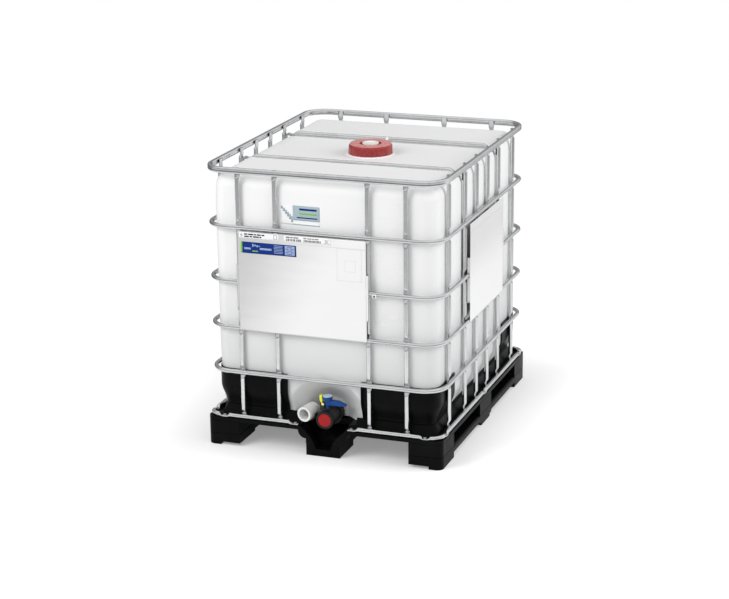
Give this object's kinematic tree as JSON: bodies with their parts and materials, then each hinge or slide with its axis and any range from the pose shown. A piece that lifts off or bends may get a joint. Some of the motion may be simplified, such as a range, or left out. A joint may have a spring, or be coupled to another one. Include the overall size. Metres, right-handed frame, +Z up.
{
  "type": "intermediate bulk container",
  "caption": "Caged plastic liquid container on a plastic pallet, with a screw fill cap, a low lever valve with a screw outlet cap, and a stowed drain pipe.",
  "frame": {"origin": "centre of the footprint, on the floor", "axes": "+Z up, -Y out of the valve side, +X to the right of someone facing the valve; the 1200 mm length runs along Y"},
  "size_m": [1, 1.2, 1.16],
  "materials": {
    "galvanised": "galvanised steel tube, bright with soft mottling",
    "plate_sheet": "thin pale steel sheet",
    "black_plastic": "black polyethylene, slightly waxy",
    "bottle_plastic": "translucent natural white polyethylene",
    "white_plastic": "white plastic",
    "red_plastic": "red polyethylene",
    "blue_plastic": "blue plastic",
    "pale_blue_plastic": "pale blue plastic",
    "yellow_plastic": "yellow plastic",
    "seal_rubber": "black elastomer",
    "steel": "zinc plated steel",
    "sticker": "printed film"
  },
  "bodies": {
    "container": {"pallet_deck": "black_plastic", "pallet_blocks": "black_plastic", "pallet_drain_block": "black_plastic", "runner_left": "black_plastic", "runner_centre": "black_plastic", "runner_right": "black_plastic", "front_uprights": "galvanised", "rear_uprights": "galvanised", "right_uprights": "galvanised", "left_uprights": "galvanised", "cage_ring_1": "galvanised", "cage_ring_2": "galvanised", "cage_ring_3": "galvanised", "cage_ring_4": "galvanised", "top_rim": "galvanised", "bottom_rail": "galvanised", "rail_screws": "steel", "crossbar_front": "galvanised", "crossbar_rear": "galvanised", "crossbar_brackets": "galvanised", "crossbar_screws": "steel", "bottle": "bottle_plastic", "guard_rear_right": "black_plastic", "guard_rear_left": "black_plastic", "guard_front_right": "black_plastic", "guard_front_left": "black_plastic", "low_guard_left": "black_plastic", "low_guard_right": "black_plastic", "low_guard_rear": "black_plastic", "neck_gasket": "seal_rubber", "union_nut": "black_plastic", "valve_body": "black_plastic", "valve_seat": "seal_rubber", "pipe_cradle": "black_plastic", "front_plate": "plate_sheet", "side_plate": "plate_sheet", "plate_stickers": "sticker", "bottle_sticker": "sticker", "cage_tag": "white_plastic"},
    "cap_travel": {"cap_gasket": "seal_rubber"},
    "cap": {"fill_cap": "red_plastic"},
    "bung_travel": {"bung_gasket": "seal_rubber"},
    "bung": {"bung": "white_plastic"},
    "valve_lever": {"lever": "blue_plastic", "hub_cap": "pale_blue_plastic", "spindle": "steel", "butterfly_disc": "black_plastic"},
    "safety_clip": {"safety_clip": "yellow_plastic", "clip_button": "yellow_plastic"},
    "outlet_travel": {"outlet_seal": "seal_rubber"},
    "outlet_cap": {"outlet_nut": "black_plastic", "outlet_disc": "red_plastic"},
    "drain_pipe": {"drain_pipe": "white_plastic"}
  },
  "joints": [
    {"name": "cap_rise", "type": "slide", "parent": "container", "child": "cap_travel", "axis": [0, 0, 1], "range_m": [0, 0.0315]},
    {"name": "cap_turn", "type": "hinge", "parent": "cap_travel", "child": "cap", "pos_m": [0, 0, 1.12], "axis": [0, 0, 1], "range_deg": [0, 1621]},
    {"name": "bung_rise", "type": "slide", "parent": "cap", "child": "bung_travel", "axis": [0, 0, 1], "range_m": [0, 0.0225]},
    {"name": "bung_turn", "type": "hinge", "parent": "bung_travel", "child": "bung", "pos_m": [0, 0, 1.14], "axis": [0, 0, 1], "range_deg": [0, 3509]},
    {"name": "lever_turn", "type": "hinge", "parent": "container", "child": "valve_lever", "pos_m": [0.006, -0.552, 0.152], "axis": [0, 0, -1], "range_deg": [0, 90]},
    {"name": "clip_pull", "type": "slide", "parent": "container", "child": "safety_clip", "axis": [-1, 0, 0], "range_m": [0, 0.016]},
    {"name": "outlet_travel", "type": "slide", "parent": "container", "child": "outlet_travel", "axis": [0, -1, 0], "range_m": [0, 0.0195]},
    {"name": "outlet_turn", "type": "hinge", "parent": "outlet_travel", "child": "outlet_cap", "pos_m": [0.006, -0.58, 0.152], "axis": [0, -1, 0], "range_deg": [0, 1171]},
    {"name": "pipe_draw", "type": "slide", "parent": "container", "child": "drain_pipe", "axis": [-0.1736, -0.9848, 0], "range_m": [0, 0.12]}
  ],
  "couplings": [
    {"joint": "cap_turn", "follows": "cap_rise", "rad_per_m": 897.6},
    {"joint": "bung_turn", "follows": "bung_rise", "rad_per_m": 2721.2},
    {"joint": "outlet_turn", "follows": "outlet_travel", "rad_per_m": 1047.2}
  ]
}
